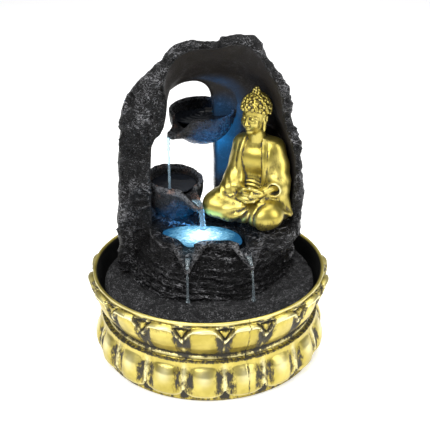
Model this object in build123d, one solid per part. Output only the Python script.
from build123d import *

import math
import os

# Tabletop water fountain, in millimetres. +Z is up, -Y is the front, and the origin is the
# centre of the circle that the foot pads stand on.

# ---- driving dimensions ----
PETALS = 18                     # in each of the two lotus rings
PITCH = 360 / PETALS
NOTCH_ANGLE = 7                 # first gap between petals, from the front towards +X
RIM_Z, RIM_R, RIM_INNER_R = 77.5, 99.5, 96.0
FLOOR_Z, CAVITY_R = 12.0, 84.0  # water floor and the radius of the pump well
WAIST_Z, WAIST_R = 38.0, 87.0
TRAY_Z, TRAY_T, TRAY_R = 65.0, 7.0, 90.5
ROCK_TOP_Z, ROCK_R = 277.5, 88.0
POOL_Z, POOL_DEPTH = 111.0, 8.0
LEDGE_Z, LEDGE_T = 115.0, 14.0
BACK_WALL_Y = 44.0              # front face of the wall behind the figure
PUMP_X, PUMP_Y, PUMP_Z = 4.0, 48.0, 33.0   # middle of the pump, on the rotor's axis
OUTLET_X = 22.0                 # pump outlet and the foot of the riser
RISER_Y, RISER_TOP_Z = 58.0, 183.0
TUBE_R, TUBE_BORE = 5.0, 3.5
LIGHT_X, LIGHT_Y = -6.0, -8.0   # middle of the pool light
PLUG_X = -14.0                  # light plug and its socket on the pump
RUNNING = 0.05                  # radial clearance of every turning or sliding fit


# ---- small helpers ----
def prism(points, low, high):
    """Solid over an XY outline, between two heights."""
    outline = make_face(Polyline([(x, y, low) for x, y in points], close=True))
    return extrude(outline, amount=high - low, dir=(0, 0, 1))


def slab(points, front, back):
    """Solid over an XZ outline, between two depths."""
    outline = make_face(Polyline([(x, back, z) for x, z in points], close=True))
    return extrude(outline, amount=back - front, dir=(0, -1, 0))


def rod(r, low, high, x=0.0, y=0.0):
    """Upright cylinder between two heights."""
    return Pos(x, y, (low + high) / 2) * Cylinder(r, high - low)


def rod_x(r, low, high, y=PUMP_Y, z=PUMP_Z):
    """Cylinder along X between two places, by default on the rotor's axis."""
    return Pos((low + high) / 2, y, z) * Rot(0, 90, 0) * Cylinder(r, high - low)


def block(low, high):
    """Box between two opposite corners."""
    size = [b - a for a, b in zip(low, high)]
    middle = [(a + b) / 2 for a, b in zip(low, high)]
    return Pos(*middle) * Box(*size)


def turned(points):
    """Solid of revolution about Z from an outline of (radius, height) points."""
    outline = make_face(Polyline([(r, 0, z) for r, z in points], close=True))
    return revolve(outline, axis=Axis.Z)


def limb(start, end, start_r, end_r):
    """Round-ended taper between two points."""
    along = Vector(*end) - Vector(*start)
    taper = Plane(origin=start, z_dir=along) * Pos(0, 0, along.length / 2) * Cone(start_r, end_r, along.length)
    return taper + Pos(*start) * Sphere(start_r) + Pos(*end) * Sphere(end_r)


def oval(x, y, z, rx, ry, turn=0.0):
    """Flat elliptical face at a height."""
    return Pos(x, y, z) * Rot(0, 0, turn) * Ellipse(rx, ry)


def stack(faces):
    """Solid through a list of faces, straight from each to the next."""
    return loft(faces, ruled=True)


def spout(base, tip, base_width, tip_width, base_depth, tip_depth, wall, rise=12.0):
    """Pouring lip from base to tip, as (outer solid, channel to cut out of it)."""
    along = Vector(tip[0] - base[0], tip[1] - base[1], 0).normalized()
    across = Vector(-along.Y, along.X, 0)

    def section(at, width, depth, top):
        corners = [(-width / 2, top), (-width * 0.3, -depth), (width * 0.3, -depth), (width / 2, top)]
        return make_face(Polyline([Vector(*at) + across * u + Vector(0, 0, v) for u, v in corners],
                                  close=True))

    outer = stack([section(base, base_width, base_depth, 0), section(tip, tip_width, tip_depth, 0)])
    past = Vector(*tip) + along * 2
    channel = stack([
        section(base, base_width - 2 * wall, base_depth - wall, rise),
        section((past.X, past.Y, past.Z), tip_width - 2 * wall, tip_depth - wall, rise),
    ])
    return outer, channel


# ---- lotus basin ----
def lobed_face(z, notch_r, bulge):
    """Cross-section of a petal ring: one arc for each petal, from notch to notch."""
    def at(r, degrees):
        return (r * math.sin(math.radians(degrees)), -r * math.cos(math.radians(degrees)), z)

    arcs = []
    for i in range(PETALS):
        start = NOTCH_ANGLE + i * PITCH
        arcs.append(ThreePointArc(at(notch_r, start), at(notch_r + bulge, start + PITCH / 2),
                                  at(notch_r, start + PITCH)))
    return make_face(arcs)


LOWER_PETALS = [(5, 93.5, 2.0), (12, 94.5, 2.8), (22, 94.5, 3.2), (31, 92, 2.6), (WAIST_Z, 88, 1.5)]
UPPER_PETALS = [(WAIST_Z, WAIST_R, 1.0), (48, 91.5, 2.5), (60, 96, 4.0), (70, 99.5, 5.0), (75, 98.5, 3.5)]
PAD_R, PAD_CIRCLE_R, PAD_PROUD = 6.0, 87.0, 1.0
CABLE_SLOT_W, CABLE_SLOT_Z = 10.0, 71.0


def cable_slot(half_width, front, back):
    """U-shaped cut in the back rim that the pump's cord lies in."""
    round_end = Pos(0, (front + back) / 2, CABLE_SLOT_Z) * Rot(90, 0, 0) * Cylinder(half_width, back - front)
    return round_end + block((-half_width, front, CABLE_SLOT_Z), (half_width, back, RIM_Z + 10))


def pad_places():
    return [(PAD_CIRCLE_R * math.cos(math.radians(a)), PAD_CIRCLE_R * math.sin(math.radians(a)))
            for a in (45, 135, 225, 315)]


def lotus_basin():
    plinth = rod(94.5, PAD_PROUD, 9)
    lower = stack([lobed_face(*s) for s in LOWER_PETALS])
    upper = stack([lobed_face(*s) for s in UPPER_PETALS])
    bead = Pos(0, 0, WAIST_Z + 1.5) * Torus(WAIST_R + 1.5, 1.8)
    rim = rod(RIM_R, 68, RIM_Z)
    cavity = turned([(0, FLOOR_Z), (CAVITY_R, FLOOR_Z), (CAVITY_R, 42), (94.5, 60), (RIM_INNER_R, RIM_Z),
                     (RIM_INNER_R, RIM_Z + 10), (0, RIM_Z + 10)])
    hollow_foot = rod(80, 0, 6)
    basin = plinth + lower + upper + bead + rim - cavity - hollow_foot
    for x, y in pad_places():
        basin -= rod(PAD_R, 0, 2, x, y)
    return basin - cable_slot(CABLE_SLOT_W / 2, 90, 110)


def foot_pads():
    return Compound([rod(PAD_R, 0, 2, x, y).solid() for x, y in pad_places()])


def cable_grommet():
    """Rubber liner of the cable slot, with a flange inside and outside the rim."""
    half = CABLE_SLOT_W / 2
    liner = cable_slot(half, 93, 103.5) & block((-20, 90, 0), (20, 108, RIM_Z - 0.5))
    wall = turned([(80, 0), (80, 60), (94.5, 60), (RIM_INNER_R, RIM_Z), (RIM_INNER_R, 90),
                   (110, 90), (110, 0)])
    inner_flange = (cable_slot(half + 2, 93, 95.2) & block((-20, 90, 0), (20, 108, RIM_Z - 0.5))) - wall
    return liner + inner_flange - cable_slot(half - 1.5, 90, 110)


# ---- rockwork ----
LEG_R, LEG_CIRCLE_R = 5.0, 76.0
CABLE_WELL = ((-28.0, -20.0), (34.0, 62.0))   # hole through the tray, hollow above it

ARCH_OUTLINE = [(-79, TRAY_Z), (-77, 105), (-74, 152), (-72, 180), (-70, 205), (-66, 222), (-57, 237),
                (-48, 244), (-37, 255), (-27, 267), (-16, 270.5), (1, 273), (12, 275), (22, ROCK_TOP_Z),
                (38, 275), (45, 266), (56, 249), (66, 231), (71, 206), (76, 193), (80.5, 172), (79, 150),
                (80.5, 132), (79, 100), (77, TRAY_Z)]
NICHE_FRONT = [(-47, LEDGE_Z), (-46.5, 179), (-41, 197), (-39, 224), (-32.5, 248), (-21, 262), (0, 267),
               (24, 271), (39, 266), (49, 250), (63, 230), (66, 204), (73, 181), (75, 160), (71, 130),
               (69, LEDGE_Z)]
NICHE_BACK = [(-44, LEDGE_Z), (-42, 175), (-38, 192), (-35, 205), (-27, 219), (-14, 230), (0, 234),
              (20, 234), (33, 228), (44, 216), (52, 200), (56, 184), (59, 168), (60, 150), (59, 130),
              (58, LEDGE_Z)]
WINDOW = [(-47, 108), (-47, 158), (-44, 176), (-39, 192), (-34, 207), (-24, 219), (-12, 223.5), (-4, 222),
          (2, 213), (4, 190), (4, 108)]
MOUND = [(-77, 12), (-70, 0), (-60, -18), (-45, -32), (-32, -43), (-18, -48), (5, -45), (26, -47),
         (45, -33), (61, -14), (73, 10), (77, 30), (77, 44), (-77, 44)]
MOUND_LAYERS = [(65, 73, 1.0), (73, 82, 0.93), (82, 90, 0.86), (90, 99, 0.8), (99, 101, 0.84)]
MOUND_BACK_Y = 44
POOL_BLOCK = [(-50, 2), (-48, -14), (-38, -26), (-22, -30), (0, -30), (26, -30), (38, -26), (48, -27),
              (50, -14), (36, 0), (10, 22), (-20, 30), (-50, 30)]
LEDGE = [(-2, 44), (2, 24), (14, 14), (27, 3), (39, -13), (49, -26), (62, -29), (74, -20), (80, -3),
         (82, 20), (77, 44)]
POOL_MIDDLE, POOL_RX, POOL_RY = (-6.0, -9.0), 35.0, 16.0
SPOUT_TIPS = [((-16, -20, POOL_Z), (-17.5, -46, 97)), ((26, -20, POOL_Z), (35, -44, 99))]


def in_front(points, share):
    """Outline drawn back towards the rear wall, as each layer of the mound is."""
    return [(x * (0.3 + 0.7 * share), MOUND_BACK_Y + (y - MOUND_BACK_Y) * share) for x, y in points]


def cable_well(low, high):
    (x0, y0), (x1, y1) = CABLE_WELL
    return block((x0, y0, low), (x1, y1, high))


def rock_tray():
    """Round floor of the rockwork, on four legs that stand in the basin."""
    tray = rod(TRAY_R, TRAY_Z - TRAY_T, TRAY_Z)
    for a in range(0, 360, 90):
        x, y = LEG_CIRCLE_R * math.cos(math.radians(a)), LEG_CIRCLE_R * math.sin(math.radians(a))
        tray += rod(LEG_R, FLOOR_Z, TRAY_Z - TRAY_T, x, y)
    return tray - cable_well(0, TRAY_Z + 1)


def riser_path():
    """Middle of the hose, from the pump outlet up the back wall."""
    points = [(OUTLET_X, PUMP_Y, 50), (OUTLET_X, PUMP_Y, 66), (OUTLET_X, RISER_Y, 92),
              (OUTLET_X, RISER_Y, RISER_TOP_Z)]
    return FilletPolyline(*points, radius=[38, 60])


# depth, share of the outline's width and share of its height: the roof falls away towards the back
ARCH_DEPTHS = [(4, 0.97, 1.0), (12, 1.0, 0.985), (50, 1.0, 0.885), (66, 0.95, 0.84), (76, 0.84, 0.80)]


def arch_hull():
    """Outer shape of the arch, drawn in towards its front edge and its back."""
    faces = []
    for y, wide, high in ARCH_DEPTHS:
        outline = [(3 + (x - 3) * wide, y, TRAY_Z + (z - TRAY_Z) * high) for x, z in ARCH_OUTLINE]
        faces.append(make_face(Polyline(outline, close=True)))
    return stack(faces)


def rock_arch():
    """Hollowed rock with a pillar on the left, a niche in front and a window behind the bowls."""
    hull = arch_hull() & rod(ROCK_R, 0, 300)
    niche = stack([make_face(Polyline([(x, 2, z) for x, z in NICHE_FRONT], close=True)),
                   make_face(Polyline([(x, BACK_WALL_Y, z) for x, z in NICHE_BACK], close=True))])
    below = block((-47, 0, 0), (90, MOUND_BACK_Y, LEDGE_Z))
    window = slab(WINDOW, BACK_WALL_Y - 10, 90)
    arch = hull - niche - below - window - (cable_well(0, 88) & block((-90, 0, 0), (90, 70, 88)))
    channel = rod(TUBE_R + 0.5, 80, RISER_TOP_Z + 17, OUTLET_X, RISER_Y)
    channel += block((OUTLET_X - 5.5, PUMP_Y, 80), (OUTLET_X + 5.5, RISER_Y + 5.5, 100))
    cross = rod_x(TUBE_R + 0.5, -10, OUTLET_X + 5, RISER_Y, RISER_TOP_Z + 11)
    return arch - channel - cross


def pool_spouts():
    return [spout(base, tip, 34, 9, 14, 6, 2.5) for base, tip in SPOUT_TIPS]


def pool_rock(arch):
    """Layered mound with the pool in its top and two pouring lips."""
    mound = prism(in_front(MOUND, MOUND_LAYERS[0][2]), *MOUND_LAYERS[0][:2])
    for low, high, share in MOUND_LAYERS[1:]:
        mound += prism(in_front(MOUND, share), low, high)
    mound += prism(POOL_BLOCK, 99, POOL_Z)
    mound &= rod(ROCK_R, 0, 300)
    for outer, _ in pool_spouts():
        mound += outer
    pool = Pos(0, 0, POOL_Z - POOL_DEPTH) * extrude(
        oval(*POOL_MIDDLE, 0, POOL_RX, POOL_RY), amount=POOL_DEPTH + 5)
    mound -= pool
    for _, channel in pool_spouts():
        mound -= channel
    (x0, y0), (x1, y1) = CABLE_WELL
    mound -= block((x0, y0, 0), (x1, y1, 98))
    mound -= rod(LIGHT_R, 90, POOL_Z, LIGHT_X, LIGHT_Y)
    return mound - arch - figure_ledge(arch)


def figure_ledge(arch):
    """Shelf that the figure sits on."""
    lower = prism([(x * 0.97, y * 0.94 + 2) for x, y in LEDGE], LEDGE_Z - LEDGE_T, LEDGE_Z - 7)
    return (lower + prism(LEDGE, LEDGE_Z - 7, LEDGE_Z)) & rod(ROCK_R, 0, 300) - arch


def bowl(middle, rim_z, rx, ry, depth, wall, lip):
    """Open bowl of elliptical section with one pouring lip."""
    outer_levels = [(0.35, -depth), (0.68, -0.82 * depth), (0.9, -0.45 * depth), (1.0, 0)]
    outer = stack([oval(*middle, rim_z + z, rx * s, ry * s) for s, z in outer_levels])
    inner_levels = [(0.3, wall - depth), (0.66, wall - 0.85 * depth), (0.9, wall - 0.5 * depth), (1.0, 1)]
    inner = stack([oval(*middle, rim_z + z, (rx - wall) * s, (ry - wall) * s) for s, z in inner_levels])
    lip_outer, lip_channel = lip
    top = rod(200, rim_z, rim_z + 60)
    return (outer + lip_outer) - inner - lip_channel - top


ARMS = [((23, 26, 171), (15, 17, 147), (32, -1, 143)), ((57, 13, 171), (60, 3, 147), (36, -3, 143))]
KNEES = [(2, 5, 126), (62, -10, 125)]
UPPER_RIM_Z, UPPER_MIDDLE = 200.0, (-7.0, 47.0)
MIDDLE_RIM_Z, MIDDLE_MIDDLE = 146.0, (-28.0, 30.0)


def upper_bowl(arch, inlet):
    lip = spout((-14, 34, UPPER_RIM_Z), (-31.5, 11, 190), 30, 7, 12, 4, 2.0)
    shell = bowl(UPPER_MIDDLE, UPPER_RIM_Z, 31, 24, 30, 3.0, lip)
    hole = rod_x(TUBE_BORE + 0.5, 0, 30, RISER_Y, RISER_TOP_Z + 11)
    return (shell - arch - hole - inlet).solids().sort_by(SortBy.VOLUME)[-1]


def middle_bowl(arch, mound):
    lip = spout((-20, 16, MIDDLE_RIM_Z), (-8, -4, 136), 26, 8, 14, 5, 2.5)
    shell = bowl(MIDDLE_MIDDLE, MIDDLE_RIM_Z, 26, 26, 26, 3.0, lip)
    foot = rod(11, POOL_Z - 12, MIDDLE_RIM_Z - 24, *MIDDLE_MIDDLE)
    return (shell + foot - arch - mound).solids().sort_by(SortBy.VOLUME)[-1]


def seated_figure(arch):
    """Cross-legged figure in a robe, hands in the lap, turned a little to the left."""
    turn = -14.0
    lap = stack([oval(33, 6, z, rx, ry, turn)
                 for z, rx, ry in [(LEDGE_Z, 34, 23), (119, 37, 25), (127, 37, 24), (133, 31, 21), (137, 22, 16)]])
    torso = stack([oval(40, y, z, rx, ry, -22)
                   for z, rx, ry, y in [(130, 18, 14, 19), (145, 18, 13, 20), (160, 20.5, 13, 21),
                                        (171, 21.5, 12, 20), (178, 15, 9.5, 19), (183, 7.5, 7.5, 18)]])
    neck = rod(6.5, 180, 192, 39.5, 17)
    head = stack([oval(39, 16.5, z, rx, ry, -32)
                  for z, rx, ry in [(186, 6, 8), (189, 9, 11.5), (196, 11.5, 13.5), (204, 12.8, 14.8),
                                    (212, 11.8, 13.5), (217, 8.5, 9.5), (219, 7.2, 7.6), (223, 6, 6),
                                    (227, 3.5, 3.5), (230, 1, 1)]])
    figure = lap + torso + neck + head
    for shoulder, elbow, hand in ARMS:
        figure += limb(shoulder, elbow, 7.8, 8.6) + limb(elbow, hand, 8.5, 6.0)
    for knee in KNEES:
        figure += limb((34, 4, 125), knee, 11.5, 9.5)
    return (figure & block((-50, -60, LEDGE_Z), (100, 60, 300))) - arch


# ---- water feed ----
def riser_tube():
    path = riser_path()
    print("riser hose: length", round(path.length, 1))
    start = Plane(origin=path @ 0, z_dir=path % 0)
    ring = start * (Circle(TUBE_R) - Circle(TUBE_BORE))
    return sweep(ring, path=path)


def bowl_inlet():
    """Elbow from the top of the riser into the back of the upper bowl."""
    turn_z = RISER_TOP_Z + 11
    barb = rod(TUBE_BORE, RISER_TOP_Z - 8, turn_z, OUTLET_X, RISER_Y)
    collar = rod(TUBE_R, RISER_TOP_Z, turn_z, OUTLET_X, RISER_Y)
    corner = Pos(OUTLET_X, RISER_Y, turn_z) * Sphere(TUBE_R)
    arm = rod_x(TUBE_R - 1.5, -1, OUTLET_X, RISER_Y, turn_z) + rod_x(TUBE_R, 8, OUTLET_X, RISER_Y, turn_z)
    bore = rod(2.4, RISER_TOP_Z - 10, turn_z, OUTLET_X, RISER_Y) + Pos(OUTLET_X, RISER_Y, turn_z) * Sphere(2.4)
    return barb + collar + corner + arm - bore - rod_x(2.4, -3, OUTLET_X, RISER_Y, turn_z)


# ---- pool light ----
LIGHT_R, LIGHT_FLANGE_R = 9.0, 11.0
LENS_SEAT_Z = 98.0
HOUSING_LOW_Z = 84.0
BOARD_Z = 91.0


def pool_light_lens():
    """Clear window in the pool floor, with a low dome and a flange under the rock."""
    stem = rod(LIGHT_R, LENS_SEAT_Z, POOL_Z - POOL_DEPTH, LIGHT_X, LIGHT_Y)
    cap_r = 30.0
    centre_z = POOL_Z - POOL_DEPTH + 1.4 - cap_r
    dome = (Pos(LIGHT_X, LIGHT_Y, centre_z) * Sphere(cap_r)) & rod(LIGHT_R, LENS_SEAT_Z, 120, LIGHT_X, LIGHT_Y)
    return stem + dome + rod(LIGHT_FLANGE_R, LENS_SEAT_Z - 2, LENS_SEAT_Z, LIGHT_X, LIGHT_Y)


def pool_light_gasket():
    return rod(LIGHT_FLANGE_R, LENS_SEAT_Z - 3, LENS_SEAT_Z - 2, LIGHT_X, LIGHT_Y) - rod(
        LIGHT_FLANGE_R - 2, 0, 120, LIGHT_X, LIGHT_Y)


def pool_light_housing():
    cup = rod(LIGHT_FLANGE_R, HOUSING_LOW_Z, LENS_SEAT_Z - 3, LIGHT_X, LIGHT_Y)
    inside = rod(LIGHT_FLANGE_R - 2, HOUSING_LOW_Z + 2, 120, LIGHT_X, LIGHT_Y)
    step = rod(LIGHT_FLANGE_R - 2, BOARD_Z - 2, BOARD_Z, LIGHT_X, LIGHT_Y) - rod(
        LIGHT_FLANGE_R - 4, 0, 120, LIGHT_X, LIGHT_Y)
    return cup - inside + step - rod(LEAD_R, 0, 90, LIGHT_X, LIGHT_Y)


def pool_light_board():
    return rod(LIGHT_FLANGE_R - 2, BOARD_Z, BOARD_Z + 1.6, LIGHT_X, LIGHT_Y)


def pool_light_leds():
    """Three domed lamps on the board."""
    lamps = []
    for a in (90, 210, 330):
        x, y = LIGHT_X + 4 * math.cos(math.radians(a)), LIGHT_Y + 4 * math.sin(math.radians(a))
        lamp = rod(1.5, BOARD_Z + 1.6, BOARD_Z + 2.6, x, y) + Pos(x, y, BOARD_Z + 2.6) * Sphere(1.5)
        lamps.append((lamp & rod(2, BOARD_Z + 1.6, 120, x, y)).solid())
    return Compound(lamps)


# ---- light lead, held between the light housing and its plug ----
LEAD_R = 1.2
PLUG_TOP_Z = 64.0
LEAD_ROUTE = [(PLUG_X, PUMP_Y, PLUG_TOP_Z), (PLUG_X, PUMP_Y, 84), (-13, 33, 91), (-11, 21, 77), (-9.5, 13, 62),
              (LIGHT_X, LIGHT_Y, 62), (LIGHT_X, LIGHT_Y, HOUSING_LOW_Z + 2)]


def bend_radii(points):
    """Largest radius that each corner's two runs leave room for."""
    radii = []
    for before, corner, after in zip(points, points[1:], points[2:]):
        first = Vector(*corner) - Vector(*before)
        second = Vector(*after) - Vector(*corner)
        shorter = min(first.length, second.length)
        radii.append(0.45 * shorter / math.tan(math.radians(first.get_angle(second) / 2)))
    return radii


def light_lead():
    radii = bend_radii(LEAD_ROUTE)
    path = FilletPolyline(*LEAD_ROUTE, radius=radii)
    print("light lead: length", round(path.length, 1), "radii", [round(r, 1) for r in radii])
    return sweep(Plane(origin=path @ 0, z_dir=path % 0) * Circle(LEAD_R), path=path)


def light_plug():
    body = rod(4.2, 57, PLUG_TOP_Z, PLUG_X, PUMP_Y)
    return body + rod(3.0, PUMP_TOP_Z + 2, 57, PLUG_X, PUMP_Y)


# ---- pump ----
PUMP_HALF_Y, PUMP_LOW_Z, PUMP_TOP_Z = 16.0, 18.0, 48.0
MOTOR_X0, MOTOR_X1, VOLUTE_X1 = -30.0, 12.0, 30.0
WELL_R, MAGNET_R, SHAFT_R, IMPELLER_R = 7.0, 6.2, 1.0, 9.0
CUP_H = PUMP_LOW_Z - FLOOR_Z
SOCKET_BOTTOM_Z = PUMP_TOP_Z + 2


def pump_body():
    """Motor housing: rotor well open towards the volute, stator pocket behind it."""
    case = block((MOTOR_X0, PUMP_Y - PUMP_HALF_Y, PUMP_LOW_Z), (MOTOR_X1, PUMP_Y + PUMP_HALF_Y, PUMP_TOP_Z))
    case = fillet(case.edges().filter_by(Axis.X), 3)
    case -= rod_x(WELL_R, MOTOR_X1 - 30, MOTOR_X1)
    case -= stator_core() + stator_coil()
    return case - rod_x(2.5, MOTOR_X1 - 33, MOTOR_X1 - 30)


def stator_core():
    """Laminated iron that straddles the rotor well, potted in the housing."""
    outer = block((-24, PUMP_Y - 13, PUMP_Z - 10), (-2, PUMP_Y + 13, PUMP_Z + 10))
    return outer - block((-30, PUMP_Y - 8.5, PUMP_Z - 8.5), (2, PUMP_Y + 8.5, PUMP_Z + 8.5)) - block(
        (-30, PUMP_Y - 8, PUMP_Z - 20), (2, PUMP_Y + 8, PUMP_Z))


def stator_coil():
    """Winding round the upper yoke of the core."""
    wound = block((-26, PUMP_Y - 7, PUMP_Z + 8.2), (0, PUMP_Y + 7, PUMP_Z + 12.5))
    return wound - stator_core()


def shaft_bushes():
    back = rod_x(2.5, MOTOR_X1 - 33, MOTOR_X1 - 30) - rod_x(SHAFT_R, -100, 100)
    front = rod_x(2.5, VOLUTE_X1 - 8, VOLUTE_X1 - 4) - rod_x(SHAFT_R, -100, 100)
    return Compound([back.solid(), front.solid()])


def rotor_shaft():
    return rod_x(SHAFT_R, MOTOR_X1 - 33, VOLUTE_X1 - 4)


def rotor_magnet():
    return rod_x(MAGNET_R, MOTOR_X1 - 28, MOTOR_X1 - 1) - rod_x(SHAFT_R + RUNNING, -100, 100)


def impeller():
    """Hub and five flat blades, on the front end of the magnet."""
    low, high = MOTOR_X1 - 1, MOTOR_X1 + 8
    wheel = rod_x(3.2, low, high) + rod_x(MAGNET_R, low, low + 2)
    for i in range(5):
        blade = block((low + 2, -0.6, 2), (high, 0.6, IMPELLER_R))
        wheel += Pos(0, PUMP_Y, PUMP_Z) * Rot(72 * i, 0, 0) * blade
    return wheel - rod_x(SHAFT_R + RUNNING, -100, 100)


def volute_cover():
    """Chamber round the impeller, with the inlet eye in front and the outlet on top."""
    case = block((MOTOR_X1, PUMP_Y - PUMP_HALF_Y, PUMP_LOW_Z), (VOLUTE_X1 - 4, PUMP_Y + PUMP_HALF_Y, PUMP_TOP_Z))
    case = fillet(case.edges().filter_by(Axis.X), 3)
    case += rod(TUBE_BORE - RUNNING, PUMP_TOP_Z, 57, OUTLET_X, PUMP_Y)
    case -= rod_x(IMPELLER_R + 1.5, MOTOR_X1, MOTOR_X1 + 10)
    case -= rod(2.2, PUMP_Z + 4, 60, OUTLET_X, PUMP_Y) & block((0, 0, PUMP_Z), (60, 90, 90))
    eye = rod_x(6.0, MOTOR_X1 + 9, VOLUTE_X1) - rod_x(2.5, MOTOR_X1 + 9, VOLUTE_X1)
    for i in range(3):
        spoke = block((MOTOR_X1 + 9, -0.8, 0), (VOLUTE_X1, 0.8, 7))
        eye -= Pos(0, PUMP_Y, PUMP_Z) * Rot(120 * i + 60, 0, 0) * spoke
    spigot = block((VOLUTE_X1 - 4, PUMP_Y - 13.45, PUMP_LOW_Z + 2.55),
                   (VOLUTE_X1 - 1, PUMP_Y + 13.45, PUMP_TOP_Z - 2.55))
    spigot -= block((0, PUMP_Y - 12, PUMP_LOW_Z + 4), (60, PUMP_Y + 12, PUMP_TOP_Z - 4))
    return case - eye - rod_x(2.5, VOLUTE_X1 - 8, VOLUTE_X1) - volute_seal() + spigot


def volute_seal():
    """Square-section ring in the joint between housing and volute."""
    return rod_x(13.0, MOTOR_X1, MOTOR_X1 + 1.2) - rod_x(11.8, -100, 100)


COVER_T, COVER_X1 = 1.5, 39.0
REGULATOR_Z = PUMP_Z - 8
REGULATOR_TRAVEL = 7.0


def intake_cover():
    """Slotted cap that pulls off the front of the pump."""
    low_z, high_z = PUMP_LOW_Z + 1, PUMP_TOP_Z - 1
    cap = block((VOLUTE_X1 - 4, PUMP_Y - 15, low_z), (COVER_X1, PUMP_Y + 15, high_z))
    cap = fillet(cap.edges().filter_by(Axis.X), 2.5)
    cap -= block((0, PUMP_Y - 15 + COVER_T, low_z + COVER_T), (COVER_X1 - COVER_T, PUMP_Y + 15 - COVER_T,
                                                             high_z - COVER_T))
    for i in range(7):
        y = PUMP_Y - 10.5 + 3.5 * i
        cap -= block((COVER_X1 - 3, y - 0.9, PUMP_Z - 1), (COVER_X1 + 1, y + 0.9, PUMP_Z + 10))
    return cap - block((COVER_X1 - 3, PUMP_Y - 8, REGULATOR_Z - 1.5), (COVER_X1 + 1, PUMP_Y + 8, REGULATOR_Z + 1.5))


def flow_regulator():
    """Sliding gate behind the cap's slots, with a thumb tab through the cap."""
    gate_x1 = COVER_X1 - COVER_T - RUNNING
    gate = block((gate_x1 - 1.4, PUMP_Y - 9, REGULATOR_Z - 4), (gate_x1, PUMP_Y + 2, REGULATOR_Z + 15))
    tab = block((gate_x1, PUMP_Y - 6, REGULATOR_Z - 1.4), (COVER_X1 + 2.5, PUMP_Y - 1, REGULATOR_Z + 1.4))
    return gate + tab


def light_socket():
    """Two-pole socket on top of the pump that the light plug stands in."""
    return rod(5.0, PUMP_TOP_Z, 56.5, PLUG_X, PUMP_Y) - rod(3.0 + RUNNING, SOCKET_BOTTOM_Z, 60, PLUG_X, PUMP_Y)


def cord_gland():
    """Threaded-look inlet on the pump's end, where its cord goes in."""
    return rod_x(4.5, MOTOR_X0 - 5, MOTOR_X0, PUMP_Y, PUMP_Z) - rod_x(
        2.6, MOTOR_X0 - 6, MOTOR_X0 - 1, PUMP_Y, PUMP_Z) + (
        rod_x(5.6, MOTOR_X0 - 2, MOTOR_X0, PUMP_Y, PUMP_Z) - rod_x(4, -100, 100, PUMP_Y, PUMP_Z))


def suction_cups():
    cup = turned([(0, 0.8), (4.5, 0), (5.6, 0), (4.0, 1.8), (2.0, 3), (2.0, CUP_H), (0, CUP_H)])
    return Compound([(Pos(x, PUMP_Y + dy, FLOOR_Z) * cup).solid() for x in (-22, 14) for dy in (-9, 9)])


def main():
    os.makedirs("parts", exist_ok=True)
    arch = rock_arch()
    inlet = bowl_inlet()
    mound = pool_rock(arch)
    nodes = {
        "lotus_basin": lotus_basin(),
        "foot_pads": foot_pads(),
        "cable_grommet": cable_grommet(),
        "rock_tray": rock_tray(),
        "rock_arch": arch,
        "pool_rock": mound,
        "figure_ledge": figure_ledge(arch),
        "upper_bowl": upper_bowl(arch, inlet),
        "middle_bowl": middle_bowl(arch, mound),
        "seated_figure": seated_figure(arch),
        "riser_tube": riser_tube(),
        "bowl_inlet": inlet,
        "pool_light_lens": pool_light_lens(),
        "pool_light_gasket": pool_light_gasket(),
        "pool_light_housing": pool_light_housing(),
        "pool_light_board": pool_light_board(),
        "pool_light_leds": pool_light_leds(),
        "light_lead": light_lead(),
        "light_plug": light_plug(),
        "light_socket": light_socket(),
        "pump_body": pump_body(),
        "stator_core": stator_core(),
        "stator_coil": stator_coil(),
        "rotor_magnet": rotor_magnet(),
        "impeller": impeller(),
        "rotor_shaft": rotor_shaft(),
        "shaft_bushes": shaft_bushes(),
        "volute_cover": volute_cover(),
        "volute_seal": volute_seal(),
        "intake_cover": intake_cover(),
        "flow_regulator": flow_regulator(),
        "cord_gland": cord_gland(),
        "suction_cups": suction_cups(),
    }
    for name, shape in nodes.items():
        export_step(shape, f"parts/{name}.step")


main()
